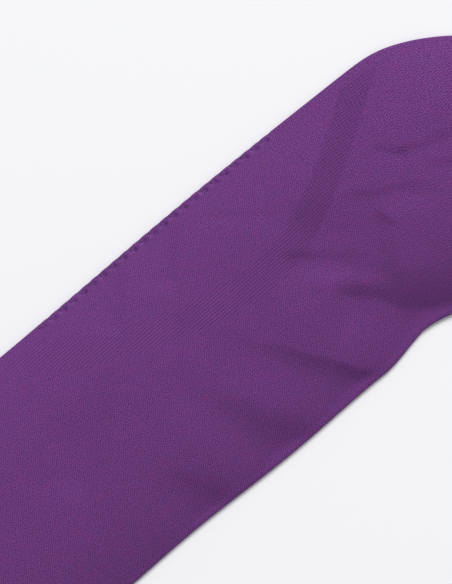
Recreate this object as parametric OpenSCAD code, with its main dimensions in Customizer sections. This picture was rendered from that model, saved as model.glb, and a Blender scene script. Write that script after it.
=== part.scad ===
// Endless round sling: a load-bearing core of yarn turns inside a flat textile sleeve.
// It lies flat as an open loop. The two legs run along X, thickness is along Z,
// and the origin is the middle of the loop on the plane that it rests on.

/* [Loop] */
// Radius of the sleeve's centre line at both ends
bend_r = 42.5; // [40:0.5:60]
// Length of each straight leg
leg_l = 366; // [300:2:600]

/* [Sleeve] */
// Flat width of the sleeve
sleeve_w = 45; // [44:0.5:50]
// Thickness over the core, at the middle of the width
sleeve_t = 5.5; // [5.4:0.1:6]
// Thickness at the folded edges
fold_t = 1.5; // [1.3:0.1:1.6]
// Wall of the sleeve, the cuff and the label
wall = 0.5; // [0.4:0.05:0.5]
// Distance from the outer fold to the seam thread
seam_inset = 1.5; // [1.2:0.1:2]

/* [Core] */
// Diameter of one bundled turn of yarn
turn_d = 2.2; // [2:0.05:2.25]
// Spacing of the turns, side by side
turn_pitch = 2.3; // [2.3:0.05:2.4]
// Width of a tape tie round the turns
tie_w = 8; // [5:1:15]

/* [Cuff] */
// Middle of the cuff, along the leg
cuff_x = -60; // [-80:5:-40]
// Length of the cuff
cuff_l = 50; // [40:1:60]
// Height of the cuff over the core
cuff_t = 6.3; // [6.2:0.05:6.8]

/* [Label] */
// Length of the loose part of the label
label_l = 80; // [60:1:90]
// Width of the label
label_w = 36; // [30:1:38]
// Length of the label that is sewn to the cuff
tail_l = 13; // [10:1:16]

/* [Hidden] */
$fn = 96;
turn_count = 12;
tie_xs = [-100, 100];
gap = 0.05;
thread_d = 0.6;
stitch_l = 2.2;
stitch_pitch = 3.4;
stitches_in_row = 11;
row_insets = [3, 6];
seam_gap = 8;
tag = [24, 12, 0.3];
splice_l = 24;
splice_d = 1.2;
cuff_fold = fold_t + 2 * (wall + gap);
core_z = 2 * wall + 2 * gap + turn_d / 2;
core_half_w = turn_pitch * (turn_count - 1) / 2;
cuff_end = cuff_x + cuff_l / 2;
hinge_gap = 0.4;
TURNS = [for (i = [1:turn_count]) str("core_turn_", i < 10 ? "0" : "", i)];
TIES = [for (i = [1:4]) str("core_tie_", i)];

// Radius of a crown that rises from the folds to the full height
function crown_r(w, h, fold) =
    let (a = (w - fold) / 2, rise = h - fold) (a * a + rise * rise) / (2 * rise);

// Height of that crown at a distance v from the middle
function crown_z(w, h, fold, v) =
    let (r = crown_r(w, h, fold)) h - r + sqrt(r * r - v * v);

// Outline of the flattened tube: flat below, crowned above, with rounded folds
module crowned(w, h, fold) {
    r = crown_r(w, h, fold);
    intersection() {
        translate([-(w - fold) / 2, 0]) square([w - fold, h]);
        translate([0, h - r]) circle(r);
    }
    for (side = [-1, 1])
        translate([side * (w - fold) / 2, fold / 2]) circle(d = fold);
}

// The same outline moved inwards all round by t
module crowned_inside(w, h, fold, t) {
    translate([0, t]) crowned(w - 2 * t, h - 2 * t, fold - 2 * t);
}

module sleeve_outline() {
    difference() {
        crowned(sleeve_w, sleeve_t, fold_t);
        crowned_inside(sleeve_w, sleeve_t, fold_t, wall);
    }
}

module cuff_outline() {
    difference() {
        crowned(sleeve_w, cuff_t, cuff_fold);
        crowned_inside(sleeve_w, cuff_t, cuff_fold, wall);
    }
}

// The sleeve where it passes through the cuff
module neck_outline() {
    difference() {
        crowned_inside(sleeve_w, cuff_t, cuff_fold, wall + gap);
        crowned_inside(sleeve_w, cuff_t, cuff_fold, 2 * wall + gap);
    }
}

// The step in the sleeve's wall between its full size and its neck
module shoulder_outline() {
    difference() {
        union() {
            crowned(sleeve_w, sleeve_t, fold_t);
            crowned_inside(sleeve_w, cuff_t, cuff_fold, wall + gap);
        }
        crowned_inside(sleeve_w, cuff_t, cuff_fold, 2 * wall + gap);
    }
}

// Runs an outline along a leg from x1 to x2: outline x is outward, outline y is up
module near_leg(x1, x2) {
    translate([x1, 0, 0]) rotate([90, 0, 90])
        linear_extrude(x2 - x1) translate([bend_r, 0]) children();
}

module far_leg(x1, x2) {
    rotate([0, 0, 180]) near_leg(-x2, -x1) children();
}

// Runs an outline round one end, side = 1 for +X and -1 for -X
module end_bend(side) {
    translate([side * leg_l / 2, 0, 0]) rotate([0, 0, -90 * side])
        rotate_extrude(angle = 180) translate([bend_r, 0]) children();
}

// Runs an outline round the loop, except between open1 and open2 on the far leg
module loop_with_gap(open1, open2) {
    near_leg(-leg_l / 2, leg_l / 2) children();
    for (side = [-1, 1])
        end_bend(side) children();
    far_leg(-leg_l / 2, open1) children();
    far_leg(open2, leg_l / 2) children();
}

// A strip of the cuff's crown, from a height of lift to lift + t above it
module crown_strip(w, lift, t) {
    r = crown_r(sleeve_w, cuff_t, cuff_fold);
    intersection() {
        translate([-w / 2, 0]) square([w, cuff_t + lift + t]);
        translate([0, cuff_t - r]) difference() {
            circle(r + lift + t);
            circle(r + lift);
        }
    }
}

// One row of stitches across the crown, at a place along the far leg
module stitch_row(x, count, lift) {
    far_leg(x - thread_d / 2, x + thread_d / 2)
        for (i = [0:count - 1])
            intersection() {
                crown_strip(sleeve_w, lift - thread_d / 2, thread_d);
                translate([(i - (count - 1) / 2) * stitch_pitch - stitch_l / 2, 0])
                    square([stitch_l, cuff_t + lift + thread_d]);
            }
}

module sleeve() {
    neck1 = cuff_x - cuff_l / 2 - hinge_gap;
    neck2 = cuff_x + cuff_l / 2 + hinge_gap;
    color("#6a3c78") {
        loop_with_gap(neck1, neck2) sleeve_outline();
        far_leg(neck1, neck2) neck_outline();
        far_leg(neck1 - wall, neck1) shoulder_outline();
        far_leg(neck2, neck2 + wall) shoulder_outline();
    }
}

module edge_seam() {
    v = sleeve_w / 2 - seam_inset;
    z = crown_z(sleeve_w, sleeve_t, fold_t, v);
    color("#4a2a58")
        loop_with_gap(cuff_x - cuff_l / 2 - seam_gap, cuff_end + seam_gap)
            translate([v, z]) circle(d = thread_d);
}

module join_cuff() {
    color("#6a3c78")
        far_leg(cuff_x - cuff_l / 2, cuff_end) cuff_outline();
}

module cuff_stitches() {
    color("#4a2a58")
        for (inset = row_insets) {
            stitch_row(cuff_x - cuff_l / 2 + inset, stitches_in_row, 0);
            stitch_row(cuff_end - tail_l - inset, stitches_in_row, 0);
        }
}

// The loose flap, which folds back over the cuff about its sewn end
module label() {
    start = cuff_end + hinge_gap;
    color("#2f62ad")
        far_leg(start, start + label_l) crown_strip(label_w, gap, wall);
}

module label_tail() {
    color("#2f62ad")
        far_leg(cuff_end - tail_l, cuff_end - hinge_gap) crown_strip(label_w, gap, wall);
}

module label_stitches() {
    color("#d8dde6")
        for (inset = [row_insets[0], tail_l - row_insets[0]])
            stitch_row(cuff_end - inset, stitches_in_row - 2, gap + wall);
}

// A second tag that stays inside the sleeve, under the cuff
module inner_tag() {
    z = core_z + turn_d / 2 + 4 * gap;
    color("#2f62ad")
        translate([cuff_x - tag.x / 2, -bend_r - tag.y / 2, z]) cube(tag);
}

module core_turn(i) {
    v = (i - (turn_count - 1) / 2) * turn_pitch;
    color("#e9e5da") {
        near_leg(-leg_l / 2, leg_l / 2) translate([v, core_z]) circle(d = turn_d);
        far_leg(-leg_l / 2, leg_l / 2) translate([v, core_z]) circle(d = turn_d);
        for (side = [-1, 1])
            end_bend(side) translate([v, core_z]) circle(d = turn_d);
    }
}

// Flat oval round all the turns, at a distance t from them
module bundle_outline(t) {
    r = turn_d / 2 + t;
    translate([-core_half_w, core_z - r]) square([2 * core_half_w, 2 * r]);
    for (side = [-1, 1])
        translate([side * core_half_w, core_z]) circle(r);
}

module tie_outline() {
    difference() {
        bundle_outline(4 * gap);
        bundle_outline(gap);
    }
}

module core_tie(i) {
    x = tie_xs[i % 2];
    color("#f4f1e6")
        if (i < 2)
            near_leg(x - tie_w / 2, x + tie_w / 2) tie_outline();
        else
            far_leg(x - tie_w / 2, x + tie_w / 2) tie_outline();
}

// The joined ends of the yarn, taped down on top of the turns
module core_end_splice() {
    z = core_z + turn_d / 2 + gap + splice_d / 2;
    color("#f4f1e6")
        near_leg(-splice_l / 2, splice_l / 2) translate([0, z]) circle(d = splice_d);
}

sleeve();
edge_seam();
join_cuff();
cuff_stitches();
label();
label_tail();
label_stitches();
inner_tag();
core_end_splice();
for (i = [0:turn_count - 1])
    core_turn(i);
for (i = [0:3])
    core_tie(i);
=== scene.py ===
"""Round sling, laid flat: a knitted violet sleeve over a core of yarn turns, with a cuff and a blank label.

Lengths are in metres. A place on the sleeve is given by s, the distance along the loop's centre line
from the middle of the near leg, and v, the distance across the top from the outer fold.
"""
import math

import bpy
import numpy as np
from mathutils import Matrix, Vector


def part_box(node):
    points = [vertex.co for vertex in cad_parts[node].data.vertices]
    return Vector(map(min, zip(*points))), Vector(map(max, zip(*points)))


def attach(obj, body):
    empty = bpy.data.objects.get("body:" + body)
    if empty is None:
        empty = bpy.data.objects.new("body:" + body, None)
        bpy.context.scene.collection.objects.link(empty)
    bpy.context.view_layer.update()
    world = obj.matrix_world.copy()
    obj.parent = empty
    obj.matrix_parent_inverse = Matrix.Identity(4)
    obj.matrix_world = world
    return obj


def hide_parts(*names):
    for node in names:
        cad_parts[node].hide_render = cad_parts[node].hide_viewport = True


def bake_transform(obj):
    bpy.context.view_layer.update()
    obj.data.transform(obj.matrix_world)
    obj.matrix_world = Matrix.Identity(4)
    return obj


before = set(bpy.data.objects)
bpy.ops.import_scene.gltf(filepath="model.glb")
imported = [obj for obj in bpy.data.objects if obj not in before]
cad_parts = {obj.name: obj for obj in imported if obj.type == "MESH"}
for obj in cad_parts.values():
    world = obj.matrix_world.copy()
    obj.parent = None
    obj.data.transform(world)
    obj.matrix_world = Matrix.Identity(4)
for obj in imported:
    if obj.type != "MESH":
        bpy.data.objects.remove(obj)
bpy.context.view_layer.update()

MM = 0.001


# ---- sizes, from the frame

SLEEVE_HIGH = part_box("sleeve")[1]
LABEL_LOW, LABEL_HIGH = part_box("label")
TAIL_LOW, TAIL_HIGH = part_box("label_tail")
CUFF_LOW, CUFF_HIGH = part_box("join_cuff")
TAG_LOW, TAG_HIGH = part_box("inner_tag")
SPLICE_LOW, SPLICE_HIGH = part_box("core_end_splice")
TIES = sorted(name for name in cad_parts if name.startswith("core_tie_"))
TURNS = sorted(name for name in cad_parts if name.startswith("core_turn_"))

# The loop. The label lies along the middle of the far leg.
OUTER_R = SLEEVE_HIGH.y
HALF_LEG = SLEEVE_HIGH.x - OUTER_R
BEND_R = -(LABEL_LOW.y + LABEL_HIGH.y) / 2
HALF_W = OUTER_R - BEND_R
WIDTH = 2 * HALF_W
BEND_L = math.pi * BEND_R
LOOP_L = 4 * HALF_LEG + 2 * BEND_L
FAR_LEG_MIDDLE = 2 * HALF_LEG + BEND_L

# The flattened sleeve: its folds and where its crown starts on them, the crown's height and squareness, the
# cloth's thickness, and how far the drape's swells and pleats reach
FOLD_T = 1.0 * MM
FOLD_STEPS = 5
FOLD_TOP = 0.96
CROWN_T = 0.9 * SLEEVE_HIGH.z
CROWN_POWER = 2.8
WALL = 0.3 * MM
BROAD_SWELL, SMALL_SWELL = 0.26 * MM, 0.15 * MM
PLEAT_DEPTH = 0.8 * MM

# The cuff, with doubled hems and rows of stitches
CUFF_WALL = 0.45 * MM
HEM_T = 0.22 * MM
CUFF_L = CUFF_HIGH.x - CUFF_LOW.x
CUFF_MIDDLE = FAR_LEG_MIDDLE - (CUFF_LOW.x + CUFF_HIGH.x) / 2
HEM_L = 7.5 * MM
CUFF_STITCHES = 11
CUFF_STITCH_PITCH = 3.4 * MM
CUFF_STITCH_L = 2.2 * MM
CUFF_THREAD_R = 0.2 * MM
STITCH_ROW_INSETS = (3 * MM, 6 * MM)

LABEL_W = LABEL_HIGH.y - LABEL_LOW.y
LABEL_T = 0.3 * MM
TAIL_L = CUFF_HIGH.x - TAIL_LOW.x

TURN_LOW, TURN_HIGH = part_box(TURNS[0])
TURN_R = (TURN_HIGH.z - TURN_LOW.z) / 2
TURN_Z = (TURN_HIGH.z + TURN_LOW.z) / 2
TURN_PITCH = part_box(TURNS[1])[1].x - TURN_HIGH.x
TAPE_T = 0.12 * MM

# The knitted arches of ribs that stand on the outer fold
ARCH_COUNT = 12
OUTER_FOLD_L = 4 * HALF_LEG + 2 * math.pi * OUTER_R
ARCH_PITCH = OUTER_FOLD_L / ARCH_COUNT
ARCH_MIDDLE = HALF_LEG - 14.4 * MM
RIB_PITCH = 0.52 * MM
RIB_RISE = 0.03 * MM

# The row of slanted stitches beside each arch. A stitch goes into the cloth inset from the fold, its row is
# shifted from the arch's middle, and it reaches the fold further along by its slant.
STITCH_PITCH = 2.27 * MM
STITCH_INSET = 0.45 * MM
STITCH_SHIFT = -0.6 * MM
STITCH_SLANT = -0.95 * MM
STITCHES_BEFORE, STITCHES_AFTER = 15, 7
EDGE_THREAD_R = 0.08 * MM
PIT_DEPTH = 0.15 * MM
PUFF_RISE = 0.07 * MM

# Rows of points along the sleeve before, in and after the stretch that shows the most detail
ROWS_BEFORE, ROWS_FINE, ROWS_AFTER = 240, 480, 170
CLOTH_UV = "cloth"


def smooth(x, low, high):
    """0 below low, 1 above high, and a smooth step between them."""
    t = np.clip((x - low) / (high - low), 0, 1)
    return t * t * (3 - 2 * t)


def keep_above(x, least, soft):
    """x, but never below least, with a soft corner where it would go below."""
    return (x + least + np.sqrt(np.square(x - least) + np.square(soft))) / 2


def stacked(*parts):
    """Points from their coordinates, which are numbers or arrays that spread over one common grid."""
    return np.stack(np.broadcast_arrays(*parts), -1)


def ripple(x, y, size, seed):
    """Low, smooth unevenness made of a few crossing waves about size long, from -1 to 1."""
    rng = np.random.default_rng(seed)
    waves = 7
    total = 0 * x * y
    for _ in range(waves):
        angle, phase = rng.uniform(0, math.pi), rng.uniform(0, 2 * math.pi)
        length = size * rng.uniform(0.6, 1.6)
        total = total + np.sin(2 * math.pi * (x * math.cos(angle) + y * math.sin(angle)) / length + phase)
    return total / waves


# ---- the loop's plan

# Distances along the centre line where a leg, a bend, a leg and a bend end
ENDS = np.cumsum([HALF_LEG, BEND_L, 2 * HALF_LEG, BEND_L])


def bent_length(s):
    """How much of the way from 0 to s lies in the bends."""
    return np.clip(s - ENDS[0], 0, BEND_L) + np.clip(s - ENDS[2], 0, BEND_L)


def turn_angle(s):
    """How far the loop has turned at s, in radians, and where its centre of turning lies along X."""
    s = np.mod(s, LOOP_L)
    base_x = np.select(
        [s < ENDS[0], s < ENDS[1], s < ENDS[2], s < ENDS[3]],
        [s, HALF_LEG, HALF_LEG - (s - ENDS[1]), -HALF_LEG],
        s - LOOP_L,
    )
    return bent_length(s) / BEND_R, base_x


def plan_point(s, out):
    """Place in plan, out metres outwards from the centre line."""
    angle, base_x = turn_angle(s)
    r = BEND_R + out
    return base_x + r * np.sin(angle), r * np.cos(angle)


def past_junction(s):
    """Distance into the bend from its nearer end, negative on a leg."""
    angle, base_x = turn_angle(s)
    folded = np.mod(angle, math.pi)
    in_bend = np.minimum(folded, math.pi - folded) * BEND_R
    return np.where(np.abs(base_x) < HALF_LEG - 1e-9, np.abs(base_x) - HALF_LEG, in_bend)


def fold_length(s):
    """Distance along the outer fold, which is longer than the centre line round the bends."""
    s = np.mod(s, LOOP_L)
    return s + bent_length(s) * (OUTER_R / BEND_R - 1)


def arch_place(s):
    """Signed distance along the outer fold from the nearest arch's middle."""
    away = fold_length(s) - ARCH_MIDDLE
    return np.mod(away + ARCH_PITCH / 2, ARCH_PITCH) - ARCH_PITCH / 2


def corner_share(s):
    """How strongly each of the four leg ends is pulled: 1 at +X, +Y."""
    angle, base_x = turn_angle(s)
    plus_x = 0.5 + 0.5 * np.clip(base_x / HALF_LEG, -1, 1)
    near = 0.5 + 0.5 * np.cos(angle)
    return 0.65 + 0.35 * plus_x * near + 0.2 * (1 - plus_x) * (1 - near)


def neck(s):
    """1 where the sleeve passes through the cuff."""
    away = np.abs(np.mod(s - CUFF_MIDDLE + LOOP_L / 2, LOOP_L) - LOOP_L / 2)
    return 1 - smooth(away, CUFF_L / 2 - 1 * MM, CUFF_L / 2 + 5 * MM)


def outer_reach(s):
    """Distance of the outer fold from the centre line: it runs on straight before it turns."""
    bend_angle = np.clip(past_junction(s), 0, None) / BEND_R
    straight_on = OUTER_R * (1 / np.cos(np.minimum(bend_angle, 1.2)) - 1)
    most = 4.6 * MM
    push = straight_on * most / np.power(straight_on ** 6 + most ** 6, 1 / 6)
    push = push * (1 - smooth(bend_angle, math.radians(25), math.radians(68))) * corner_share(s)
    sway = 0.3 * MM * np.cos(2 * math.pi * arch_place(s) / ARCH_PITCH)
    return HALF_W + push + sway


def inner_reach(s):
    """Distance of the inner fold from the centre line: the turn pulls it in."""
    k = past_junction(s)
    pull = 1.75 * MM * smooth(k, -9.5 * MM, 2.1 * MM) * (1 - 0.5 * smooth(k, 12 * MM, 60 * MM))
    wave = 0.22 * MM * np.sin(2 * math.pi * k / (41 * MM)) * smooth(-k, 0, 12 * MM)
    return HALF_W - pull * corner_share(s) + wave - 0.2 * MM * pleat_wave(s)


# ---- relief of the sleeve's top

def arch_edge(along, height, long_side, short_side):
    """Height of an arch's edge above the fold: steep feet and a rounded top, longer on one side."""
    x = np.abs(along) / np.where(along < 0, long_side, short_side)
    return height * np.power(np.clip(1 - np.power(x, 1.7), 0, 1), 0.85)


def rib_mask(s, v):
    """1 inside an arch's band of ribs and 0 outside, with a soft edge."""
    along = arch_place(s)
    outer = arch_edge(along, height=21.3 * MM, long_side=47.0 * MM, short_side=39.3 * MM)
    inner = arch_edge(along, height=15.6 * MM, long_side=38.4 * MM, short_side=31.4 * MM)
    inner = np.maximum(inner, 0.4 * MM)
    soft = 0.35 * MM
    ragged = 0.5 * MM * ripple(along, v, 1.4 * MM, 5)
    inside = smooth(outer - v + ragged, -soft, soft) * smooth(v - inner + ragged, -soft, soft)
    return inside * smooth(v, 0.8 * MM, 2 * MM)


def rib_wave(v):
    """Broad ridges with narrow grooves between them: -1 at the bottom of a groove."""
    return np.cos(2 * math.pi * v / RIB_PITCH)


# Shapes of a crease's steep side, sharpest at its foot, at its brow or at neither: the two powers of its
# profile, and how softly it starts as a share of its length
FOOT, BROW, SOFT = (1.0, 1.4, 0.12), (2.0, 1.0, 0.12), (2.0, 2.0, 0.5)
# Creases near the end of a leg, in millimetres. Each has its start and its end, as distances along and
# across from the bend's centre, its depth at the end, the widths of its steep and of its gentle side, its
# depth at the start as a share of the depth at the end, and its shape.
CREASES = [
    ((-6.1, 36.0), (5.6, 20.9), 1.2, 8.8, 9.0, 1.4, FOOT),
    ((-28.5, 42.7), (-13.7, 19.3), 1.15, 4.2, 6.0, 0.0, BROW),
    ((-37.9, 36.9), (-31.4, 20.9), 0.95, 7.5, 5.0, 0.3, SOFT),
    ((-50.6, 31.0), (-47.5, 21.7), 0.75, 6.0, 4.5, 0.3, SOFT),
    ((-48.9, 48.6), (-59.7, 40.2), 0.6, 4.6, 4.5, 0.7, SOFT),
    ((-10.2, 46.9), (-2.4, 40.2), 0.3, 2.0, 6.0, 0.9, FOOT),
    ((6.4, 43.4), (0.9, 36.9), 0.9, 5.6, 11.0, 0.8, SOFT),
    ((6.6, 42.3), (7.4, 39.2), 0.3, 1.4, 1.8, 0.7, BROW),
    ((4.4, 47.5), (13.7, 41.8), 0.3, 2.1, 2.4, 0.7, SOFT),
    ((13.8, 51.6), (16.3, 48.0), 0.25, 1.6, 2.0, 0.7, FOOT),
    ((16.3, 48.0), (23.8, 45.2), 0.25, 1.8, 2.0, 0.9, FOOT),
    ((19.6, 42.8), (25.8, 38.1), 0.3, 2.4, 2.4, 0.7, SOFT),
    ((-21.7, 63.9), (-27.6, 57.5), 0.34, 3.4, 4.2, 0.8, SOFT),
    ((-34.0, 63.5), (-39.5, 58.0), 0.3, 3.4, 4.2, 0.8, SOFT),
    ((-16.1, 61.2), (-8.7, 55.2), 0.12, 1.3, 1.8, 0.7, FOOT),
]


def creases(x, y, share):
    """Depth of the creases near the loop's four leg ends, for places in the loop's plan."""
    along = np.abs(x) - HALF_LEG
    across = np.abs(y)
    depth = np.zeros_like(x)
    for start, end, deep, steep, gentle, faint, (inner, outer, fade) in CREASES:
        (x0, y0), (x1, y1) = np.array(start) * MM, np.array(end) * MM
        length = math.hypot(x1 - x0, y1 - y0)
        tx, ty = (x1 - x0) / length, (y1 - y0) / length
        a = ((along - x0) * tx + (across - y0) * ty) / length
        wander = 0.04 * steep * MM * np.sin(a * length / (1.4 * MM) + x0 / MM)
        off = (along - x0) * -ty + (across - y0) * tx + wander
        grown = np.clip(a, 0, 1)
        slope = np.clip(off / (steep * MM * (0.65 + 0.35 * grown)), 0, 1)
        steep_side = np.power(1 - np.power(slope, inner), outer)
        gentle_side = np.exp(-np.square(off / (gentle * MM)))
        taper = smooth(a, -fade, fade) * (1 - smooth(a, 1.05, 1.5)) * (faint + (1 - faint) * grown)
        depth = depth + deep * MM * taper * np.where(off > 0, steep_side, gentle_side)
    return depth * share


def pleat_wave(s):
    """1 at the bottom of each pleat that the inner fold gathers into round a bend, and 0 between them."""
    angle, _ = turn_angle(s)
    folded = np.mod(angle, math.pi)
    inside = smooth(folded, 0.5, 0.8) * (1 - smooth(folded, math.pi - 0.8, math.pi - 0.5))
    phase = 13 * folded + 1.1 * np.sin(3.3 * angle) + 0.5
    return inside * np.square(0.5 + 0.5 * np.sin(phase))


def stitch_row(s):
    """1 along the part of the outer fold where an arch's row of stitches runs."""
    along = arch_place(s)
    before, after = STITCHES_BEFORE * STITCH_PITCH, STITCHES_AFTER * STITCH_PITCH
    return smooth(along, -before - 1 * MM, -before) * (1 - smooth(along, after, after + 1 * MM))


def stitch_phase(s):
    """Distance from the nearest stitch, along the outer fold."""
    return np.mod(arch_place(s) - STITCH_SHIFT + STITCH_PITCH / 2, STITCH_PITCH) - STITCH_PITCH / 2


def spot(along, across, half_length, half_width):
    """1 in the middle of an oval spot, falling softly to 0 around it."""
    return np.exp(-np.square(along / half_length) - np.square(across / half_width))


def pits(s, v):
    """Depth of the edge stitches' marks: pits, grooves out to the fold, and raised puffs between them."""
    along = stitch_phase(s - STITCH_SLANT * (1 - v / STITCH_INSET) * (v < STITCH_INSET))
    pit = spot(along, v - STITCH_INSET, 0.4 * MM, 0.3 * MM)
    to_fold = 1 - smooth(v, 0.6 * STITCH_INSET, 1.1 * STITCH_INSET)
    groove = np.exp(-np.square(along / (0.35 * MM))) * to_fold
    from_between = np.abs(stitch_phase(s)) - STITCH_PITCH / 2
    puff = spot(from_between, v - STITCH_INSET, 0.6 * MM, 0.5 * MM)
    return stitch_row(s) * (PIT_DEPTH * np.maximum(pit, 0.3 * groove) - PUFF_RISE * puff)


def bulge(v):
    """0 at both folds and 1 in the middle."""
    return np.sin(math.pi * np.clip(v / WIDTH, 0, 1))


def drape(s, v, x, y):
    """The sleeve's large unevenness: soft swells, creases, and pleats round the bends."""
    swells = BROAD_SWELL * ripple(x, y, 34 * MM, 3) + SMALL_SWELL * ripple(x, y, 9 * MM, 4)
    pleats = PLEAT_DEPTH * pleat_wave(s) * smooth(v, 0.5 * WIDTH, 0.9 * WIDTH)
    return (1 - neck(s)) * (swells * bulge(v) - creases(x, y, corner_share(s)) - pleats)


def sleeve_relief(s, v, x, y):
    """All that stands above or sinks below the plain crown of the sleeve."""
    return drape(s, v, x, y) - (1 - neck(s)) * pits(s, v) + RIB_RISE * rib_wave(v) * rib_mask(s, v)


# ---- flattened tubes

class Tube:
    """A flattened tube along the loop: flat below, crowned above, with a round fold on each side.

    inset is how far its surface lies inside the outermost one.
    """

    def __init__(self, inset, relief):
        self.inset = inset
        self.relief = relief

    def sizes(self, s):
        """Reach of the outer fold and of the inner fold, crown, thickness of a fold, and lift."""
        squeeze = neck(s)
        narrow = self.inset + squeeze * (CUFF_WALL + 0.1 * MM)
        lift = self.inset + squeeze * (CUFF_WALL + 0.05 * MM)
        crown = CROWN_T - 2 * self.inset - 0.35 * MM * squeeze
        return outer_reach(s) - narrow, inner_reach(s) - narrow, crown, FOLD_T - 2 * self.inset, lift

    def out_at(self, s, v):
        """Distance outwards from the centre line at v across the top."""
        reach_out, reach_in, _, fold, _ = self.sizes(s)
        return reach_out - fold / 2 - v / WIDTH * (reach_out + reach_in - fold)

    def top(self, s, v):
        """Points of the upper surface. The deepest creases stop a little below the tops of the folds."""
        _, _, crown, fold, lift = self.sizes(s)
        x, y = plan_point(s, self.out_at(s, v))
        q = np.clip(np.abs(1 - 2 * v / WIDTH), 0, 1)
        rise = (crown - FOLD_TOP * fold) * (1 - np.power(q, CROWN_POWER)) + self.relief(s, v, x, y)
        rise = keep_above(rise, -0.2 * fold, 0.2 * MM)
        return stacked(x, y, lift + FOLD_TOP * fold + rise)

    def fold(self, s, side, angle):
        """Points of the outer (side 1) or inner (side -1) fold, from angle 90 degrees, on top, to -90."""
        reach_out, reach_in, _, fold, lift = self.sizes(s)
        reach = reach_out + self.scallop(s) if side > 0 else reach_in
        x, y = plan_point(s, side * (reach - fold / 2 + fold / 2 * np.cos(angle)))
        return stacked(x, y, lift + fold / 2 * (1 + np.sin(angle)))

    def scallop(self, s):
        """How far the stitches pull the outer fold in, where they wrap it."""
        along = stitch_phase(s - STITCH_SLANT) / (0.45 * MM)
        return -0.08 * MM * stitch_row(s) * (1 - neck(s)) * np.exp(-np.square(along))

    def underside(self, s, v):
        """Points of the flat lower surface."""
        x, y = plan_point(s, self.out_at(s, v))
        return stacked(x, y, self.sizes(s)[4])

    def rings(self, s_rows, top, under):
        """Rows of points along s, each going round: over the top, inner fold, underside, outer fold."""
        s = s_rows[:, None]
        turn = np.linspace(math.pi / 2, -math.pi / 2, FOLD_STEPS + 2)[1:-1][None, :]
        return np.concatenate([
            self.top(s, top[None, :]),
            self.fold(s, -1, turn),
            self.underside(s, under[None, :]),
            self.fold(s, 1, -turn),
        ], 1)


class CuffTube(Tube):
    """The short outer tube over the sleeve's join, which keeps one size and has no edge stitches."""

    def sizes(self, s):
        reach = HALF_W - self.inset + 0 * s
        crown = CROWN_T + 2 * CUFF_WALL - 2 * self.inset + 0 * s
        return reach, reach, crown, FOLD_T + 2 * CUFF_WALL - 2 * self.inset, self.inset + 0 * s

    def scallop(self, s):
        return 0 * s


def cuff_stitch_rows():
    """Places of the cuff's rows of stitches along the loop, two beside the label and two at the far end."""
    first, last = CUFF_MIDDLE - CUFF_L / 2, CUFF_MIDDLE + CUFF_L / 2
    beside_label = [first + TAIL_L + inset for inset in STITCH_ROW_INSETS]
    return beside_label + [last - inset for inset in STITCH_ROW_INSETS]


def hem_share(s):
    """1 on the cuff's hems, where the cloth is doubled."""
    to_end = CUFF_L / 2 - np.abs(s - CUFF_MIDDLE)
    return 1 - smooth(to_end, HEM_L - 0.6 * MM, HEM_L)


def cuff_relief(s, v, x, y):
    """Double hems, and shallow puckers along the rows of stitches."""
    pucker = sum(np.exp(-np.square((s - row) / (0.9 * MM))) for row in cuff_stitch_rows())
    across = 0.6 + 0.4 * np.cos(2 * math.pi * (v - WIDTH / 2) / CUFF_STITCH_PITCH)
    uneven = 0.14 * MM * ripple(x, y, 17 * MM, 8)
    return (HEM_T * hem_share(s) + uneven - 0.16 * MM * pucker * across) * bulge(v)


def no_relief(s, v, x, y):
    """A smooth surface, as inside the cuff."""
    return 0.0


SKIN = Tube(0.0, sleeve_relief)
LINING = Tube(WALL, drape)
CUFF_SKIN = CuffTube(0.0, cuff_relief)
CUFF_LINING = CuffTube(CUFF_WALL, no_relief)


# ---- meshes

def grid_faces(rows, columns, start=0, closed_rows=False, closed_columns=True, flip=False):
    """Quads between neighbouring rows and columns of points."""
    i = np.arange(rows if closed_rows else rows - 1)[:, None]
    j = np.arange(columns if closed_columns else columns - 1)[None, :]
    below, beside = (i + 1) % rows * columns, (j + 1) % columns
    quads = np.stack([i * columns + j, i * columns + beside, below + beside, below + j], -1)
    quads = quads.reshape(-1, 4) + start
    return quads[:, ::-1] if flip else quads


def grid_uv(along, around, flip=False, cut=None):
    """Distances along and around for each corner of grid_faces, with the seam at column cut."""
    shift = 0 if cut is None else around[-1] * (np.arange(len(around) - 1) >= cut)
    a, b = (around[:-1] - shift)[None, :], (around[1:] - shift)[None, :]
    s0, s1 = along[:-1, None], along[1:, None]
    corners = [(s0, a), (s0, b), (s1, b), (s1, a)]
    pairs = [stacked(*corner) for corner in corners]
    return np.stack(pairs[::-1] if flip else pairs, 2).reshape(-1, 2)


def lengths_around(rings):
    """Mean distance round the tube of each column and back to the first."""
    step = np.linalg.norm(np.diff(np.concatenate([rings, rings[:, :1]], 1), axis=1), axis=2)
    return np.concatenate([[0], np.cumsum(step.mean(0))])


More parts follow.
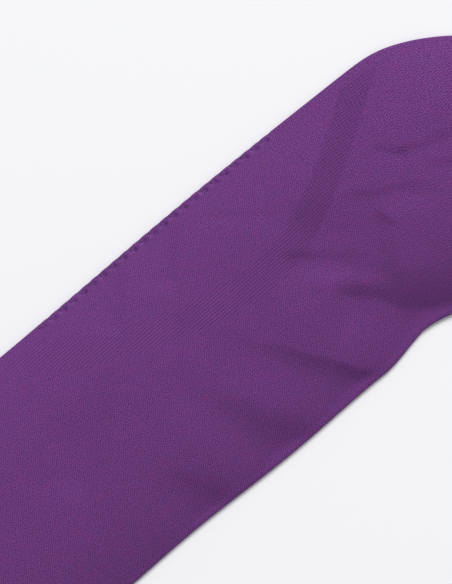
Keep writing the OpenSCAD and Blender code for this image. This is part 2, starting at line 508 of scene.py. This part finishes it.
def mesh_object(name, points, faces, uv, values=None):
    """A smooth-shaded object, with a UV pair for each face corner and named values for each point."""
    faces = np.ascontiguousarray(faces)
    mesh = bpy.data.meshes.new(name)
    mesh.vertices.add(len(points))
    mesh.vertices.foreach_set("co", np.asarray(points, dtype=np.float32).ravel())
    mesh.loops.add(faces.size)
    mesh.loops.foreach_set("vertex_index", faces.ravel().astype(np.int32))
    mesh.polygons.add(len(faces))
    mesh.polygons.foreach_set("loop_start", np.arange(0, faces.size, faces.shape[1], dtype=np.int32))
    mesh.update(calc_edges=True)
    mesh.polygons.foreach_set("use_smooth", np.ones(len(faces), dtype=bool))
    layer = mesh.uv_layers.new(name=CLOTH_UV)
    layer.uv.foreach_set("vector", np.asarray(uv, dtype=np.float32).ravel())
    for key, data in (values or {}).items():
        attribute = mesh.attributes.new(key, "FLOAT", "POINT")
        attribute.data.foreach_set("value", np.asarray(data, dtype=np.float32).ravel())
    mesh.validate()
    obj = bpy.data.objects.new(name, mesh)
    bpy.context.collection.objects.link(obj)
    return obj


def finish_piece(piece, material, slot, *nodes):
    """Gives a piece on the sling its material, and puts it in place of the CAD nodes."""
    piece.data.materials.append(material)
    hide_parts(*nodes)
    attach(piece, "sling")
    return piece


# ---- sleeve and cuff

def sleeve_rows():
    """Distances once round the loop from the cuff's middle, closest together near one end of the near leg."""
    fine_from, fine_to = HALF_LEG - 95 * MM, HALF_LEG + 34 * MM
    return np.concatenate([
        np.linspace(CUFF_MIDDLE - LOOP_L, fine_from, ROWS_BEFORE)[:-1],
        np.linspace(fine_from, fine_to, ROWS_FINE)[:-1],
        np.linspace(fine_to, CUFF_MIDDLE, ROWS_AFTER)[:-1],
    ])


def skin_columns():
    """Places across the top, three to a rib with one of them in the groove, and across the underside."""
    reach = 22 * MM
    near = np.arange(1, 5) * 0.2 * MM
    ribs = (np.arange(5, round(3 * reach / RIB_PITCH)) + 0.5) * RIB_PITCH / 3
    rest = np.linspace(ribs[-1], WIDTH - 0.4 * MM, 32)[1:]
    under = np.linspace(WIDTH - 0.6 * MM, 0.6 * MM, 18)
    return np.concatenate([near, ribs, rest]), under


def sleeve_marks(s_rows, top, under):
    """Values for the sleeve's shader at each point of the skin, in the order of Tube.rings.

    ribs and groove say where the ribs and their grooves are, dense where the ribs are darker, place and
    inward where a point is from the arch's middle and from the outer fold, and stitched where stitches are.
    """
    s, v = s_rows[:, None], top[None, :]
    below = slice(len(top) + FOLD_STEPS, -FOLD_STEPS)
    ribs, groove, inward = np.zeros((3, len(s_rows), len(top) + len(under) + 2 * FOLD_STEPS))
    ribs[:, :len(top)] = rib_mask(s, v)
    ribs[:, below] = rib_mask(s, under[None, :])
    groove[:, :len(top)] = (rib_wave(v) < 0) * rib_mask(s, v)
    inward[:, :len(top)] = v
    inward[:, len(top):len(top) + FOLD_STEPS] = WIDTH
    inward[:, below] = under
    return {
        "ribs": ribs,
        "groove": groove,
        "dense": ribs * smooth(arch_place(s), -4 * MM, 14 * MM),
        "place": arch_place(s) + 0 * inward,
        "inward": inward,
        "stitched": stitch_row(s) * (1 - neck(s)) + 0 * inward,
    }


def make_sleeve():
    """The knitted tube and its lining surface, each closed on itself inside the cuff."""
    s_rows, lining_rows = sleeve_rows(), sleeve_rows()[::2]
    top, under = skin_columns()
    skin = SKIN.rings(s_rows, top, under)
    lining = LINING.rings(lining_rows, np.linspace(0.4 * MM, WIDTH - 0.4 * MM, 36), under[::2])
    rows, columns = skin.shape[:2]
    faces = [
        grid_faces(rows, columns, closed_rows=True, flip=True),
        grid_faces(*lining.shape[:2], start=rows * columns, closed_rows=True),
    ]
    cut = len(top) + FOLD_STEPS + len(under) // 2
    uv = [
        grid_uv(np.append(s_rows, s_rows[0] + LOOP_L), lengths_around(skin), flip=True, cut=cut),
        grid_uv(np.append(lining_rows, lining_rows[0] + LOOP_L), lengths_around(lining)),
    ]
    unmarked = np.zeros(lining.shape[0] * lining.shape[1])
    marks = sleeve_marks(s_rows, top, under)
    values = {key: np.concatenate([value.ravel(), unmarked]) for key, value in marks.items()}
    points = np.concatenate([skin.reshape(-1, 3), lining.reshape(-1, 3)])
    return mesh_object("sleeve_cloth", points, np.concatenate(faces), np.concatenate(uv), values)


def open_tube(name, outer, inner, along, cut=None, flip=False, values=None):
    """A tube of cloth between two surfaces of rings, joined at both rims. cut is the UV seam's column."""
    rows, columns = outer.shape[:2]
    count, last = rows * columns, (rows - 1) * columns
    j = np.arange(columns)
    k = (j + 1) % columns
    first_rim = np.stack([j, k, count + k, count + j], -1)
    last_rim = np.stack([last + k, last + j, count + last + j, count + last + k], -1)
    order = 1 if flip else -1
    faces = np.concatenate([
        grid_faces(rows, columns, flip=flip),
        grid_faces(rows, columns, start=count, flip=not flip),
        first_rim[:, ::order],
        last_rim[:, ::order],
    ])
    around = lengths_around(outer)
    uv = np.concatenate([
        grid_uv(along, around, flip=flip, cut=cut),
        grid_uv(along, around, flip=not flip),
        np.zeros((8 * columns, 2)),
    ])
    points = np.concatenate([outer.reshape(-1, 3), inner.reshape(-1, 3)])
    return mesh_object(name, points, faces, uv, values)


def make_cuff():
    """The cuff, with its doubled hems marked."""
    s_rows = np.linspace(CUFF_MIDDLE - CUFF_L / 2, CUFF_MIDDLE + CUFF_L / 2, 120)
    top = np.linspace(0.5 * MM, WIDTH - 0.5 * MM, 90)
    under = np.linspace(WIDTH - 0.8 * MM, 0.8 * MM, 20)
    skin = CUFF_SKIN.rings(s_rows, top, under)
    lining = CUFF_LINING.rings(s_rows, top, under)
    hem = np.broadcast_to(hem_share(s_rows)[:, None], skin.shape[:2]).ravel()
    marks = {"hem": np.concatenate([hem, 0 * hem])}
    cut = len(top) + FOLD_STEPS + len(under) // 2
    return open_tube("cuff_cloth", skin, lining, s_rows, cut, flip=True, values=marks)


# ---- threads and stitches

def sweep(name, paths, radius, sides=6, closed=False):
    """Tubes along paths, an array of threads of equal length, as one mesh.

    radius is one number or an array for each point of each path and each side.
    """
    count, length = paths.shape[:2]
    if closed:
        along = np.roll(paths, -1, axis=1) - np.roll(paths, 1, axis=1)
    else:
        along = np.gradient(paths, axis=1)
    along = along / np.linalg.norm(along, axis=2, keepdims=True)
    level = np.cross(along, (0.11, 0.07, 0.99))
    level /= np.linalg.norm(level, axis=2, keepdims=True)
    upright = np.cross(level, along)
    angle = np.linspace(0, 2 * math.pi, sides, endpoint=False)
    spread = np.cos(angle)[:, None] * level[:, :, None] + np.sin(angle)[:, None] * upright[:, :, None]
    points = paths[:, :, None] + np.broadcast_to(radius, (count, length, sides))[..., None] * spread
    steps = np.linalg.norm(np.diff(paths, axis=1), axis=2).mean(0)
    far = np.concatenate([[0], np.cumsum(steps)])
    if closed:
        far = np.append(far, far[-1] + steps[-1])
    around = np.arange(sides + 1) * 2 * math.pi / sides * np.mean(radius)
    starts = (np.arange(count) * length * sides)[:, None, None]
    faces = [(grid_faces(length, sides, closed_rows=closed)[None] + starts).reshape(-1, 4)]
    uv = [np.tile(grid_uv(far, around), (count, 1))]
    if not closed:
        for row, order in ((0, (3, 2, 1, 0)), (length - 1, (0, 1, 2, 3))):
            for turn in range(0, sides - 2, 2):
                ring = np.array([0, turn + 1, turn + 2, turn + 3])[list(order)] % sides
                faces.append(starts[:, 0] + row * sides + ring[None, :])
                uv.append(np.zeros((4 * count, 2)))
    return mesh_object(name, points.reshape(-1, 3), np.concatenate(faces), np.concatenate(uv))


def stitch_radius(length, thick):
    """Radius along one stitch: thinner where it goes into the cloth."""
    place = np.linspace(-1, 1, length)
    return thick * (1 - 0.45 * place ** 4)[None, :, None]


def make_edge_stitches():
    """Slanted stitches that wrap the outer fold between the feet of each arch."""
    lengths = np.linspace(0, LOOP_L, 8001)[:-1]
    paths = []
    for arch in range(ARCH_COUNT):
        for step in range(-STITCHES_BEFORE, STITCHES_AFTER + 1):
            fold_place = ARCH_MIDDLE + arch * ARCH_PITCH + step * STITCH_PITCH + STITCH_SHIFT
            s = np.interp(fold_place % OUTER_FOLD_L, fold_length(lengths), lengths)
            if neck(s) == 0:
                paths.append(edge_stitch(s))
    paths = np.array(paths)
    return sweep("edge_stitches", paths, stitch_radius(paths.shape[1], EDGE_THREAD_R))


def edge_stitch(s):
    """From its pit on the top, out over the fold, and under."""
    points = []
    for share in np.linspace(0, 1, 6):
        point = SKIN.top(np.array(s + STITCH_SLANT * share), np.array(STITCH_INSET * (1 - share)))
        points.append(point + [0, 0, 0.06 * MM * share])
    for angle in np.radians([50, 15, -20, -60]):
        points.append(SKIN.fold(np.array(s + STITCH_SLANT), 1, np.array(angle)))
    return np.array(points)


def surface_stitches(name, surface, rows, count):
    """Rows of stitches across a surface. surface(row, t) gives its point at t metres from the middle."""
    steps = np.linspace(-1, 1, 9)
    lift = CUFF_THREAD_R * (0.5 - steps ** 4)
    paths = []
    for row in rows:
        for i in range(count):
            middle = (i - (count - 1) / 2) * CUFF_STITCH_PITCH
            across = middle + steps * CUFF_STITCH_L / 2
            paths.append([surface(row, t) + [0, 0, up] for t, up in zip(across, lift)])
    return sweep(name, np.array(paths), stitch_radius(len(steps), CUFF_THREAD_R), sides=8)


def cuff_surface(s, t):
    """A point on top of the cuff, t across from its middle."""
    return CUFF_SKIN.top(np.array(s), np.array(WIDTH / 2 + t))


# ---- label and tag

def travelled(points):
    """Distance along a row of points from the first to each."""
    return np.append(0, np.cumsum(np.linalg.norm(np.diff(points, axis=0), axis=1)))


def thin_sheet(name, grid, thickness):
    """A sheet of cloth with real thickness on both sides of a grid of points."""
    rows, columns = grid.shape[:2]
    normal = np.cross(np.gradient(grid, axis=0), np.gradient(grid, axis=1))
    normal /= np.linalg.norm(normal, axis=2, keepdims=True)
    half = normal * np.broadcast_to(thickness, (rows, columns))[..., None] / 2
    count = rows * columns
    index = np.arange(count).reshape(rows, columns)
    rim = np.concatenate([index[0, :-1], index[:-1, -1], index[-1, :0:-1], index[:0:-1, 0]])
    after = np.roll(rim, -1)
    faces = np.concatenate([
        grid_faces(rows, columns, closed_columns=False, flip=True),
        grid_faces(rows, columns, start=count, closed_columns=False),
        np.stack([rim, after, after + count, rim + count], -1),
    ])
    along, across = travelled(grid[:, columns // 2]), travelled(grid[0])
    uv = np.concatenate([
        grid_uv(along, across, flip=True),
        grid_uv(along, across),
        np.zeros((4 * len(rim), 2)),
    ])
    points = np.concatenate([(grid - half).reshape(-1, 3), (grid + half).reshape(-1, 3)])
    return mesh_object(name, points, faces, uv)


def label_point(along, t):
    """A point of the label: along from its sewn end, and t across from its middle."""
    x = TAIL_LOW.x + along
    s, v = FAR_LEG_MIDDLE - x, WIDTH / 2 - t
    on_cuff = CUFF_SKIN.top(np.minimum(s, CUFF_MIDDLE + CUFF_L / 2), v)[..., 2] + 0.25 * MM
    off_cuff = smooth(x, CUFF_HIGH.x - 1 * MM, CUFF_HIGH.x + 13 * MM)
    on_sleeve = Tube(0.0, no_relief).top(s, v)[..., 2] + 0.4 * MM
    free = along - TAIL_L
    wave = 0.3 * MM * (1 - np.cos(2 * math.pi * free / (47 * MM) + 0.5 * t / HALF_W))
    curl = 0.7 * MM * np.square(np.clip(free / (LABEL_HIGH.x - CUFF_HIGH.x), 0, 1))
    z = on_cuff + off_cuff * (on_sleeve - on_cuff + wave + curl)
    return stacked(x, t - BEND_R, z)


def label_top(along, t):
    """A point on the upper side of the label."""
    return label_point(np.array(along), np.array(t)) + [0, 0, LABEL_T / 2]


def make_label():
    """The blank woven label in one piece, from its sewn tail to its hemmed free end."""
    length = LABEL_HIGH.x - TAIL_LOW.x
    along = np.linspace(0, length, 170)[:, None]
    across = np.linspace(-LABEL_W / 2, LABEL_W / 2, 60)[None, :]
    hem = smooth(along, length - 6 * MM, length - 5.4 * MM) + 0 * across
    return thin_sheet("label_cloth", label_point(along, across), LABEL_T * (1 + 0.7 * hem))


def make_tag():
    """The second tag, inside the sleeve."""
    length, width = TAG_HIGH.x - TAG_LOW.x, TAG_HIGH.y - TAG_LOW.y
    x = TAG_LOW.x + np.linspace(0, length, 50)[:, None]
    y = TAG_LOW.y + np.linspace(0, width, 24)[None, :]
    z = (TAG_LOW.z + TAG_HIGH.z) / 2 + 0.12 * MM * ripple(x, y, 16 * MM, 11)
    return thin_sheet("tag_cloth", stacked(x, y, z), 0.25 * MM)


# ---- core

def core_room(s, out):
    """Height under the sleeve's lining at a distance outwards from the centre line, less a little air."""
    reach_out, reach_in, _, fold, _ = LINING.sizes(s)
    v = (reach_out - fold / 2 - out) / (reach_out + reach_in - fold) * WIDTH
    return LINING.top(s, v)[..., 2] - 0.3 * MM


def make_turn(name, offset):
    """One turn of yarn round the whole loop: a twisted bundle of five, pressed flat under the creases."""
    rings, sides, plies, lay = 480, 20, 5, 17 * MM
    s = np.arange(rings) * LOOP_L / rings
    floor = TURN_Z - TURN_R
    half_height = np.minimum(TURN_R, (core_room(s, offset) - floor) / 2)
    x, y = plan_point(s, offset)
    path = stacked(x, y, floor + half_height)[None]
    turns = round(LOOP_L / lay)
    angle = np.linspace(0, 2 * math.pi, sides, endpoint=False)[None, :]
    lobes = np.abs(np.cos(plies / 2 * (angle - 2 * math.pi * turns * (s / LOOP_L)[:, None])))
    flat = np.sqrt(np.square(np.cos(angle)) + np.square(half_height[:, None] / TURN_R * np.sin(angle)))
    return sweep(name, path, (TURN_R * flat * (0.86 + 0.14 * lobes))[None], sides, closed=True)


def make_tie(name, low, high):
    """A band of tape round all the turns on one leg, pressed a little way in between them."""
    side = 1 if high.y > 0 else -1
    x = np.linspace(low.x, high.x, 15)
    spread = TURN_PITCH * (len(TURNS) - 1) / 2
    level = np.linspace(-spread, spread, 121)
    reach = TURN_R + 0.05 * MM
    off_middle = 0.5 * (len(TURNS) % 2 == 0)
    dip = 0.16 * MM * (1 - np.abs(np.cos(math.pi * (level / TURN_PITCH + off_middle))))
    turn = np.linspace(math.pi / 2, -math.pi / 2, 11)[1:-1]
    end = spread + reach * np.cos(turn)
    across = np.concatenate([level, end, level[::-1], -end])
    up = np.concatenate([reach - dip, reach * np.sin(turn), dip - reach, -reach * np.sin(turn)])
    rings = []
    for inward in (0.0, TAPE_T):
        y = side * (BEND_R + across * (1 - inward / np.hypot(across, up)))
        z = TURN_Z + up * (1 - inward / reach)
        rings.append(stacked(x[:, None], y, z))
    return open_tube(name, *rings, x, flip=side > 0)


def make_splice():
    """The two ends of the yarn, twisted together on top of the turns."""
    length = SPLICE_HIGH.x - SPLICE_LOW.x
    radius = (SPLICE_HIGH.z - SPLICE_LOW.z) / 4
    share = np.linspace(0, 1, 60)
    paths = []
    for phase in (0, math.pi):
        twist = 2 * math.pi * 3 * share + phase
        x = SPLICE_LOW.x + length * share
        y = BEND_R + radius * np.cos(twist)
        z = SPLICE_LOW.z + 2 * radius + radius * np.sin(twist)
        paths.append(stacked(x, y, z))
    taper = 0.35 + 0.6 * np.sqrt(np.clip(np.sin(math.pi * share), 0, 1))
    return sweep("core_splice", np.array(paths), radius * taper[None, :, None], sides=10)


# ---- materials

class Shader:
    """Short calls for building one material's nodes."""

    def __init__(self, name):
        self.material = bpy.data.materials.new(name)
        self.material.use_nodes = True
        self.tree = self.material.node_tree
        self.surface = self.tree.nodes["Principled BSDF"]

    def feed(self, socket, value):
        """Links a socket to another node's output, or sets it to a constant."""
        if isinstance(value, bpy.types.NodeSocket):
            self.tree.links.new(value, socket)
        else:
            socket.default_value = value

    def node(self, kind, **settings):
        """Makes a node. A setting is one of its inputs, named with underscores, or one of its properties."""
        made = self.tree.nodes.new(kind)
        for key, value in settings.items():
            label = key.replace("_", " ").title()
            if label in made.inputs:
                self.feed(made.inputs[label], value)
            else:
                setattr(made, key, value)
        return made

    def maths(self, operation, *values):
        made = self.node("ShaderNodeMath", operation=operation)
        for socket, value in zip(made.inputs, values):
            self.feed(socket, value)
        return made.outputs[0]

    def times(self, a, b):
        return self.maths("MULTIPLY", a, b)

    def minus(self, a, b):
        return self.maths("SUBTRACT", a, b)

    def distance(self, x, y):
        """Distance of the place (x, y) from (0, 0)."""
        return self.maths("SQRT", self.maths("ADD", self.times(x, x), self.times(y, y)))

    def ramp(self, value, low, high, to_low=0.0, to_high=1.0):
        """value, spread so that low becomes to_low and high becomes to_high, and kept between them."""
        made = self.node("ShaderNodeMapRange", from_min=low, from_max=high, to_min=to_low, to_max=to_high)
        self.feed(made.inputs["Value"], value)
        return made.outputs["Result"]

    def mix(self, factor, a, b):
        """Colour a where factor is 0 and b where it is 1."""
        made = self.node("ShaderNodeMix", data_type="RGBA")
        colours = [socket for socket in made.inputs if socket.type == "RGBA"]
        self.feed(made.inputs[0], factor)
        self.feed(colours[0], a)
        self.feed(colours[1], b)
        return next(socket for socket in made.outputs if socket.type == "RGBA")

    def uv(self):
        return self.node("ShaderNodeUVMap", uv_map=CLOTH_UV).outputs[0]

    def value(self, name):
        """One of the mesh's named values."""
        return self.node("ShaderNodeAttribute", attribute_name=name).outputs["Fac"]

    def stretch(self, where, scale=(1, 1, 1), turn=0.0):
        return self.node("ShaderNodeMapping", vector=where, scale=scale, rotation=(0, 0, turn)).outputs[0]

    def noise(self, where, scale=1.0, detail=2.0):
        return self.node("ShaderNodeTexNoise", vector=where, scale=scale, detail=detail).outputs[0]

    def lines(self, where, pitch, wander=0.0, direction="X"):
        """Parallel lines at that pitch, from 0 to 1."""
        wave = self.node("ShaderNodeTexWave", vector=where, scale=2 * math.pi / (20 * pitch),
                         distortion=wander, detail=1.0, bands_direction=direction)
        return wave.outputs["Fac"]

    def bump(self, height, distance, strength):
        made = self.node("ShaderNodeBump", height=height, distance=distance, strength=strength)
        return made.outputs["Normal"]

    def set(self, **values):
        """Sets or links sockets of the surface, named with underscores for spaces."""
        for key, value in values.items():
            name = key.replace("_", " ").title().replace("Ior", "IOR")
            self.feed(self.surface.inputs[name], value)
        return self.material


def rgba(r, g, b):
    return (r, g, b, 1.0)


VIOLET = (0.139, 0.039, 0.183)
REDDER, BLUER = (0.205, 0.034, 0.185), (0.120, 0.046, 0.225)
# Painted shade for the stitch holes and dents, and a painted highlight for the raised puffs between the
# stitches
PIT_SHADE, PUFF_HIGHLIGHT = (0.050, 0.014, 0.092), (0.215, 0.095, 0.300)
# The knit's lines: the direction across them, in radians from the loop's direction, their pitch and strength
KNIT_LINES = [
    (math.radians(45), 0.367 * MM, 0.26),
    (math.radians(121), 0.398 * MM, 0.10),
    (math.radians(88), 0.49 * MM, 0.10),
]


def shade(colour, factor):
    """A lighter or darker shade of a colour."""
    return rgba(*(channel * factor for channel in colour))


def knit_value(m):
    """Loops of a fine knit, from 0 in the holes to 1 on the yarn."""
    uv = m.uv()
    total = m.noise(uv, 1 / (0.17 * MM), 0.0)
    patches = m.ramp(m.noise(uv, 1 / (1.6 * MM), 1.0), 0.3, 0.7, 0.5, 1.0)
    for turn, pitch, strength in KNIT_LINES:
        lines = m.lines(m.stretch(uv, turn=-turn), pitch, 0.5)
        centred = m.minus(lines, 0.5)
        total = m.maths("ADD", total, m.times(m.times(centred, strength), patches))
    return m.ramp(total, 0.24, 0.76)


def violet_cloth(m, knit):
    """Colour of the violet knit: dark holes, and patches of about 2 mm a little redder, bluer or darker."""
    uv = m.uv()
    base = m.mix(knit, shade(VIOLET, 0.42), shade(VIOLET, 1.66))
    red = m.ramp(m.noise(uv, 520.0), 0.5, 0.72, 0.0, 0.3)
    blue = m.ramp(m.noise(m.stretch(uv, scale=(1.3, 0.8, 1)), 610.0), 0.5, 0.72, 0.0, 0.3)
    base = m.mix(red, base, rgba(*REDDER))
    base = m.mix(blue, base, rgba(*BLUER))
    fading = m.ramp(m.noise(uv, 1 / (1.3 * MM)), 0.3, 0.7, 0.0, 0.16)
    return m.mix(fading, base, shade(VIOLET, 0.6))


def finish_knit(m, base, knit):
    """The knit's dull surface with a faint fuzz, and its loops as a bump."""
    return m.set(
        base_color=base, roughness=0.88, specular_ior_level=0.12,
        sheen_weight=0.06, sheen_roughness=0.5, sheen_tint=rgba(0.75, 0.5, 0.9),
        normal=m.bump(knit, 0.05 * MM, 0.55),
    )


def ribbed_cloth(m, base):
    """Adds the arches: beaded ribs with a painted highlight, broken painted shade in the grooves between
    them, and a darker stretch.
    """
    beads = m.lines(m.uv(), 0.5 * MM, 1.5)
    broken = m.ramp(m.noise(m.uv(), 1 / (0.4 * MM)), 0.3, 0.7, 0.4, 0.95)
    rib_highlight = m.times(m.value("ribs"), m.ramp(beads, 0, 1, 0.1, 0.6))
    # Painted highlight: the rib band lighter, in beads
    base = m.mix(rib_highlight, base, shade(VIOLET, 1.45))
    # Painted shade in the grooves between the ribs
    base = m.mix(m.times(m.value("groove"), broken), base, shade(VIOLET, 0.45))
    return m.mix(m.times(m.value("dense"), 0.16), base, shade(VIOLET, 0.3))


def spot_row(m, shift, inset, radius):
    """Round spots along each row of edge stitches, from 0 around them to 1 in their middles.

    The spots are moved from the stitches by shift, and lie inset from the outer fold.
    """
    steps = m.maths("DIVIDE", m.minus(m.value("place"), STITCH_SHIFT + shift), STITCH_PITCH)
    # Half a step more puts the middle of each spot at a share of 0.5
    share = m.maths("FRACT", m.maths("ADD", steps, 0.5))
    along = m.times(m.minus(share, 0.5), STITCH_PITCH)
    away = m.distance(along, m.minus(m.value("inward"), inset))
    return m.times(m.ramp(away, radius, 0.4 * radius), m.value("stitched"))


def stitched_cloth(m, base):
    """Adds the edge stitches' marks: painted shade in the holes and in the dents where they wrap the fold,
    and a painted highlight on the puffs between.
    """
    hole_shade = spot_row(m, 0.0, STITCH_INSET, 0.48 * MM)
    dent_shade = spot_row(m, STITCH_SLANT, -0.1 * MM, 0.45 * MM)
    puff_highlight = spot_row(m, 0.5 * STITCH_PITCH, 0.8 * STITCH_INSET, 0.5 * MM)
    uneven = m.ramp(m.noise(m.uv(), 1 / (2.5 * MM)), 0.35, 0.65, 0.35, 0.75)
    fainter = m.times(uneven, 0.8)
    opposite = m.minus(0.8, uneven)
    # Painted shade in the holes and dents, and a painted highlight on the puffs
    base = m.mix(m.times(hole_shade, uneven), base, rgba(*PIT_SHADE))
    base = m.mix(m.times(dent_shade, fainter), base, rgba(*PIT_SHADE))
    return m.mix(m.times(puff_highlight, opposite), base, rgba(*PUFF_HIGHLIGHT))


def sleeve_material():
    """Fine violet knit with ribbed arches and stitch marks, with painted highlight and painted shade on the
    ribs and round the stitches.
    """
    m = Shader("violet_knit")
    knit = knit_value(m)
    base = stitched_cloth(m, ribbed_cloth(m, violet_cloth(m, knit)))
    return finish_knit(m, base, knit)


def cuff_material():
    """The same violet, with the hems a shade deeper along their sewn edge."""
    m = Shader("violet_cuff")
    knit = knit_value(m)
    hem = m.value("hem")
    edge = m.times(hem, m.minus(1.0, hem))
    base = m.mix(m.times(edge, 2.0), violet_cloth(m, knit), shade(VIOLET, 0.45))
    return finish_knit(m, base, knit)


def thread_material(name, dark, light):
    """Twisted sewing thread: slanted plies, with a painted highlight on their crowns and painted shade
    between them.
    """
    m = Shader(name)
    plies = m.lines(m.stretch(m.uv(), turn=0.6), 0.28 * MM)
    fuzz = m.noise(m.uv(), 9000.0, 2.0)
    # Painted shade between the plies and a painted highlight on their crowns
    base = m.mix(m.ramp(plies, 0.1, 0.9), rgba(*dark), rgba(*light))
    base = m.mix(m.ramp(fuzz, 0.4, 0.7, 0.0, 0.35), base, rgba(*light))
    return m.set(base_color=base, roughness=0.6, specular_ior_level=0.3,
                 normal=m.bump(plies, 0.06 * MM, 0.7))


def label_material():
    """Blue satin weave with a pale woven frame line, otherwise blank."""
    m = Shader("blue_label")
    uv = m.uv()
    axes = m.node("ShaderNodeSeparateXYZ", vector=uv)
    weft = m.lines(uv, 0.42 * MM, 0.4)
    warp = m.lines(uv, 0.5 * MM, 0.4, "Y")
    slubs = m.noise(m.stretch(uv, scale=(1 / (0.5 * MM), 1 / (4 * MM), 1)), 1.0, 1.0)
    base = m.mix(m.ramp(weft, 0.15, 0.85), rgba(0.012, 0.060, 0.260), rgba(0.028, 0.125, 0.420))
    base = m.mix(m.ramp(slubs, 0.4, 0.7, 0.0, 0.35), base, rgba(0.045, 0.165, 0.480))
    length = LABEL_HIGH.x - TAIL_LOW.x
    along, across = axes.outputs[0], axes.outputs[1]
    from_ends = m.maths("MINIMUM", m.minus(along, TAIL_L + 6 * MM), m.minus(length - 9 * MM, along))
    from_sides = m.maths("MINIMUM", across, m.minus(LABEL_W, across))
    inside = m.maths("MINIMUM", from_ends, m.minus(from_sides, 3 * MM))
    frame_line = m.maths("COMPARE", inside, 0.45 * MM, 0.35 * MM)
    base = m.mix(m.times(frame_line, 0.9), base, rgba(0.62, 0.66, 0.72))
    weave = m.maths("ADD", weft, m.times(warp, 0.5))
    return m.set(base_color=base, roughness=0.42, specular_ior_level=0.4,
                 sheen_weight=0.06, sheen_roughness=0.35, sheen_tint=rgba(0.6, 0.75, 1.0),
                 normal=m.bump(weave, 0.05 * MM, 0.5))


def yarn_material():
    """Undyed polyester filaments, fine streaks along the strand."""
    m = Shader("undyed_yarn")
    fibres = m.noise(m.stretch(m.uv(), scale=(1 / (6 * MM), 1 / (0.16 * MM), 1), turn=0.12), 1.0, 2.0)
    base = m.mix(m.ramp(fibres, 0.35, 0.65), rgba(0.60, 0.57, 0.50), rgba(0.86, 0.84, 0.78))
    return m.set(base_color=base, roughness=0.5, specular_ior_level=0.4,
                 sheen_weight=0.2, sheen_roughness=0.4, normal=m.bump(fibres, 0.08 * MM, 0.6))


def tape_material():
    """Thin off-white tape with pressed fibres."""
    m = Shader("tie_tape")
    fibres = m.noise(m.stretch(m.uv(), scale=(1 / (0.4 * MM), 1 / (1.5 * MM), 1)), 1.0, 3.0)
    base = m.mix(m.ramp(fibres, 0.35, 0.65), rgba(0.70, 0.68, 0.60), rgba(0.88, 0.87, 0.82))
    return m.set(base_color=base, roughness=0.65, specular_ior_level=0.3,
                 normal=m.bump(fibres, 0.03 * MM, 0.5))


def floor_material():
    """Matt white table."""
    m = Shader("pale_table")
    return m.set(base_color=rgba(0.94, 0.94, 0.955), roughness=0.9, specular_ior_level=0.1)


# ---- camera, light and floor

def make_camera():
    """Straight down on the near leg where it turns, with the leg running up to the right."""
    picture_h = 101.1 * MM
    lens, sensor = 135.0, 36.0
    data = bpy.data.cameras.new("camera")
    data.lens = lens
    data.sensor_width = sensor
    camera = bpy.data.objects.new("camera", data)
    bpy.context.collection.objects.link(camera)
    camera.location = (HALF_LEG - 21.3 * MM, OUTER_R - 16.4 * MM, picture_h * lens / sensor)
    camera.rotation_euler = (0, 0, -math.radians(39.5))
    data.clip_start, data.clip_end = 0.01, 20
    bpy.context.scene.camera = camera


def area_light(name, place, size, power):
    """A round light that faces the loop's middle."""
    data = bpy.data.lights.new(name, "AREA")
    data.shape = "DISK"
    data.size = size
    data.energy = power
    light = bpy.data.objects.new(name, data)
    light.location = place
    light.rotation_euler = (-Vector(place)).to_track_quat("-Z", "Y").to_euler()
    bpy.context.collection.objects.link(light)


def make_studio():
    """A white table under a bright room, with one large soft light."""
    scene = bpy.context.scene
    scene.view_settings.view_transform = "Standard"
    world = bpy.data.worlds.new("studio")
    scene.world = world
    world.use_nodes = True
    background = world.node_tree.nodes["Background"]
    background.inputs["Color"].default_value = rgba(0.97, 0.975, 1.0)
    background.inputs["Strength"].default_value = 0.42
    area_light("key", (1.9, 1.2, 1.8), 1.4, 69.0)
    side, drop = 6.0, -0.05 * MM
    corners = [(-side, -side, drop), (side, -side, drop), (side, side, drop), (-side, side, drop)]
    mesh = bpy.data.meshes.new("table_top")
    mesh.from_pydata(corners, [], [(0, 1, 2, 3)])
    table = bpy.data.objects.new("table_top", mesh)
    table.data.materials.append(floor_material())
    bpy.context.collection.objects.link(table)


# ---- assembly

def build_sling():
    """Everything that rides on the sling itself."""
    # Each thread's shaded and lit ply colours: painted shade and painted highlight
    violet_thread = thread_material("violet_thread", (0.100, 0.030, 0.150), (0.165, 0.052, 0.225))
    white_thread = thread_material("white_thread", (0.55, 0.57, 0.62), (0.85, 0.86, 0.90))
    sleeve = finish_piece(make_sleeve(), sleeve_material(), "sleeve_fabric", "sleeve")
    cuff = finish_piece(make_cuff(), cuff_material(), "sleeve_fabric", "join_cuff")
    finish_piece(make_edge_stitches(), violet_thread, "sleeve_thread", "edge_seam")
    stitches = surface_stitches("cuff_threads", cuff_surface, cuff_stitch_rows(), CUFF_STITCHES)
    finish_piece(stitches, violet_thread, "sleeve_thread", "cuff_stitches")
    tail_rows = (TAIL_L - STITCH_ROW_INSETS[0], STITCH_ROW_INSETS[0])
    stitches = surface_stitches("label_threads", label_top, tail_rows, CUFF_STITCHES - 2)
    finish_piece(stitches, white_thread, "label_thread", "label_stitches")


def build_label():
    """The label, which bends where its loose part begins, and the tag under the cuff."""
    satin = label_material()
    tag = finish_piece(make_tag(), satin, "label_fabric", "inner_tag")
    label = make_label()
    label.data.materials.append(satin)
    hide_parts("label", "label_tail")
    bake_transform(label)


def build_core():
    """The load-bearing yarn, its ties and its joined ends."""
    yarn, tape = yarn_material(), tape_material()
    for i, node in enumerate(TURNS):
        offset = (i - (len(TURNS) - 1) / 2) * TURN_PITCH
        finish_piece(make_turn(node.replace("turn", "yarn"), offset), yarn, "core_yarn", node)
    for node in TIES:
        finish_piece(make_tie(node.replace("tie", "band"), *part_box(node)), tape, "tie_tape", node)
    finish_piece(make_splice(), yarn, "core_yarn", "core_end_splice")


make_camera()
make_studio()
build_sling()
build_label()
build_core()
